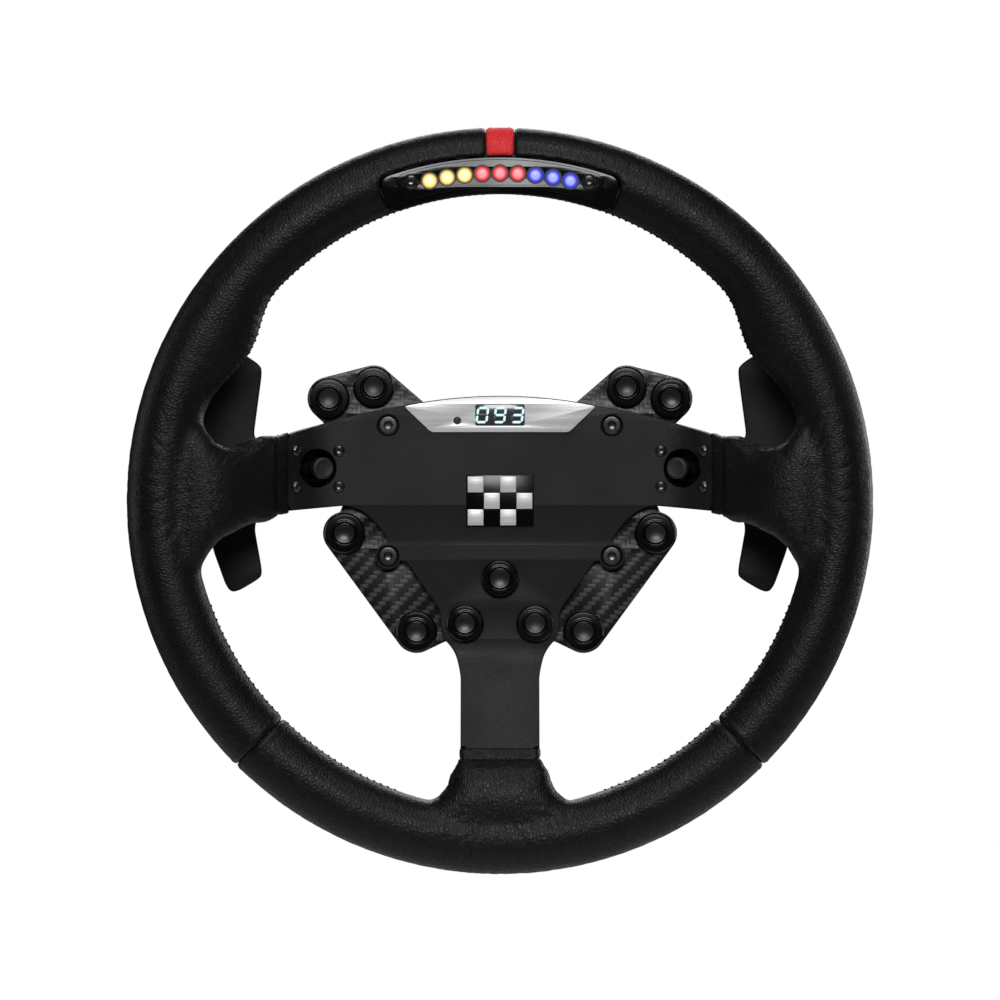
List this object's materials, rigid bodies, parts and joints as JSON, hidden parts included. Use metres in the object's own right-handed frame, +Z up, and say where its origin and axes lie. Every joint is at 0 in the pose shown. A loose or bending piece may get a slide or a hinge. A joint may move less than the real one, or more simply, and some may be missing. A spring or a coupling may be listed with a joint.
{
  "type": "racing wheel",
  "caption": "Round sim-racing steering wheel with a leather rim, bent spoke frame, buttons, joysticks, rev-light bar, shift paddles and a quick-release hub.",
  "frame": {"origin": "centre of the hub adapter's flat rear face, where the wheel seats on a wheel base's shaft", "axes": "+Y is the rotation axis, pointing from the driver to the wheel base, +Z is up and +X is the driver's right"},
  "size_m": [0.33, 0.1131, 0.33],
  "materials": {
    "anodised_black": "fine matt black anodising",
    "leather_black": "grained black leather",
    "leather_red": "smooth red leather",
    "foam_grey": "moulded foam",
    "carbon_fibre": "twill carbon weave under satin resin",
    "plastic_black": "satin black",
    "cap_black": "satin black, slightly dished",
    "steel_black": "black oxide",
    "aluminium": "brushed",
    "badge_silver": "satin silver",
    "display_dark": "smoked window",
    "lens": "diffusing lens",
    "board_green": "solder mask"
  },
  "bodies": {
    "root": {"button_centre_collar": "plastic_black", "button_centre_left_collar": "plastic_black", "button_centre_right_collar": "plastic_black", "button_left_lower_inner_collar": "plastic_black", "button_left_lower_outer_collar": "plastic_black", "button_left_upper_inner_collar": "plastic_black", "button_left_upper_outer_collar": "plastic_black", "button_right_lower_inner_collar": "plastic_black", "button_right_lower_outer_collar": "plastic_black", "button_right_upper_inner_collar": "plastic_black", "button_right_upper_outer_collar": "plastic_black", "carbon_plate": "carbon_fibre", "centre_badge": "badge_silver", "centre_marker": "leather_red", "display_bezel": "aluminium", "display_module": "display_dark", "frame_screw_lower_left": "steel_black", "frame_screw_lower_right": "steel_black", "frame_screw_upper_left": "steel_black", "frame_screw_upper_right": "steel_black", "hub_adapter": "aluminium", "joystick_left_housing": "plastic_black", "joystick_right_housing": "plastic_black", "leather_bottom": "leather_black", "leather_left": "leather_black", "leather_right": "leather_black", "led_bar_cover": "plastic_black", "led_bar_housing": "plastic_black", "led_bar_screw_left": "steel_black", "led_bar_screw_right": "steel_black", "led_board": "board_green", "led_light_guide": "lens", "main_board": "board_green", "paddle_left_bracket": "anodised_black", "paddle_left_pin": "steel_black", "paddle_right_bracket": "anodised_black", "paddle_right_pin": "steel_black", "rear_housing": "plastic_black", "rim_foam": "foam_grey", "spoke_frame": "anodised_black"},
    "button_left_upper_outer": {"button_left_upper_outer_cap": "cap_black"},
    "button_right_upper_outer": {"button_right_upper_outer_cap": "cap_black"},
    "button_left_upper_inner": {"button_left_upper_inner_cap": "cap_black"},
    "button_right_upper_inner": {"button_right_upper_inner_cap": "cap_black"},
    "button_left_lower_outer": {"button_left_lower_outer_cap": "cap_black"},
    "button_right_lower_outer": {"button_right_lower_outer_cap": "cap_black"},
    "button_left_lower_inner": {"button_left_lower_inner_cap": "cap_black"},
    "button_right_lower_inner": {"button_right_lower_inner_cap": "cap_black"},
    "button_centre": {"button_centre_cap": "cap_black"},
    "button_centre_left": {"button_centre_left_cap": "cap_black"},
    "button_centre_right": {"button_centre_right_cap": "cap_black"},
    "joystick_left_gimbal": {"joystick_left_gimbal": "plastic_black"},
    "joystick_left_shaft": {"joystick_left_shaft": "steel_black"},
    "joystick_left_knob": {"joystick_left_knob": "cap_black"},
    "paddle_left": {"paddle_left": "anodised_black"},
    "joystick_right_gimbal": {"joystick_right_gimbal": "plastic_black"},
    "joystick_right_shaft": {"joystick_right_shaft": "steel_black"},
    "joystick_right_knob": {"joystick_right_knob": "cap_black"},
    "paddle_right": {"paddle_right": "anodised_black"},
    "release_ring": {"release_ring": "anodised_black"}
  },
  "joints": [
    {"name": "button_left_upper_outer_press", "type": "slide", "parent": "root", "child": "button_left_upper_outer", "axis": [0, 1, 0], "range_m": [0, 0.0015], "stiffness_N_per_m": 300},
    {"name": "button_right_upper_outer_press", "type": "slide", "parent": "root", "child": "button_right_upper_outer", "axis": [0, 1, 0], "range_m": [0, 0.0015], "stiffness_N_per_m": 300},
    {"name": "button_left_upper_inner_press", "type": "slide", "parent": "root", "child": "button_left_upper_inner", "axis": [0, 1, 0], "range_m": [0, 0.0015], "stiffness_N_per_m": 300},
    {"name": "button_right_upper_inner_press", "type": "slide", "parent": "root", "child": "button_right_upper_inner", "axis": [0, 1, 0], "range_m": [0, 0.0015], "stiffness_N_per_m": 300},
    {"name": "button_left_lower_outer_press", "type": "slide", "parent": "root", "child": "button_left_lower_outer", "axis": [0, 1, 0], "range_m": [0, 0.0015], "stiffness_N_per_m": 300},
    {"name": "button_right_lower_outer_press", "type": "slide", "parent": "root", "child": "button_right_lower_outer", "axis": [0, 1, 0], "range_m": [0, 0.0015], "stiffness_N_per_m": 300},
    {"name": "button_left_lower_inner_press", "type": "slide", "parent": "root", "child": "button_left_lower_inner", "axis": [0, 1, 0], "range_m": [0, 0.0015], "stiffness_N_per_m": 300},
    {"name": "button_right_lower_inner_press", "type": "slide", "parent": "root", "child": "button_right_lower_inner", "axis": [0, 1, 0], "range_m": [0, 0.0015], "stiffness_N_per_m": 300},
    {"name": "button_centre_press", "type": "slide", "parent": "root", "child": "button_centre", "axis": [0, 1, 0], "range_m": [0, 0.0015], "stiffness_N_per_m": 300},
    {"name": "button_centre_left_press", "type": "slide", "parent": "root", "child": "button_centre_left", "axis": [0, 1, 0], "range_m": [0, 0.0015], "stiffness_N_per_m": 300},
    {"name": "button_centre_right_press", "type": "slide", "parent": "root", "child": "button_centre_right", "axis": [0, 1, 0], "range_m": [0, 0.0015], "stiffness_N_per_m": 300},
    {"name": "joystick_left_sideways", "type": "hinge", "parent": "root", "child": "joystick_left_gimbal", "pos_m": [-0.0851, -0.06391, 0.0145], "axis": [0, 0, 1], "range_deg": [-8, 8], "stiffness_Nm_per_rad": 0.05},
    {"name": "joystick_left_updown", "type": "hinge", "parent": "joystick_left_gimbal", "child": "joystick_left_shaft", "pos_m": [-0.0851, -0.06391, 0.0145], "axis": [0.9397, 0.342, 0], "range_deg": [-8, 8], "stiffness_Nm_per_rad": 0.05},
    {"name": "joystick_left_press", "type": "slide", "parent": "joystick_left_shaft", "child": "joystick_left_knob", "axis": [-0.342, 0.9397, 0], "range_m": [0, 0.0008], "stiffness_N_per_m": 400},
    {"name": "paddle_left_pull", "type": "hinge", "parent": "root", "child": "paddle_left", "pos_m": [-0.065, -0.05, 0.014], "axis": [0, 0, 1], "range_deg": [0, 5], "stiffness_Nm_per_rad": 2},
    {"name": "joystick_right_sideways", "type": "hinge", "parent": "root", "child": "joystick_right_gimbal", "pos_m": [0.0851, -0.06391, 0.0145], "axis": [0, 0, 1], "range_deg": [-8, 8], "stiffness_Nm_per_rad": 0.05},
    {"name": "joystick_right_updown", "type": "hinge", "parent": "joystick_right_gimbal", "child": "joystick_right_shaft", "pos_m": [0.0851, -0.06391, 0.0145], "axis": [0.9397, -0.342, 0], "range_deg": [-8, 8], "stiffness_Nm_per_rad": 0.05},
    {"name": "joystick_right_press", "type": "slide", "parent": "joystick_right_shaft", "child": "joystick_right_knob", "axis": [0.342, 0.9397, 0], "range_m": [0, 0.0008], "stiffness_N_per_m": 400},
    {"name": "paddle_right_pull", "type": "hinge", "parent": "root", "child": "paddle_right", "pos_m": [0.065, -0.05, 0.014], "axis": [0, 0, -1], "range_deg": [0, 5], "stiffness_Nm_per_rad": 2},
    {"name": "release_ring_slide", "type": "slide", "parent": "root", "child": "release_ring", "axis": [0, -1, 0], "range_m": [0, 0.006], "stiffness_N_per_m": 500}
  ]
}
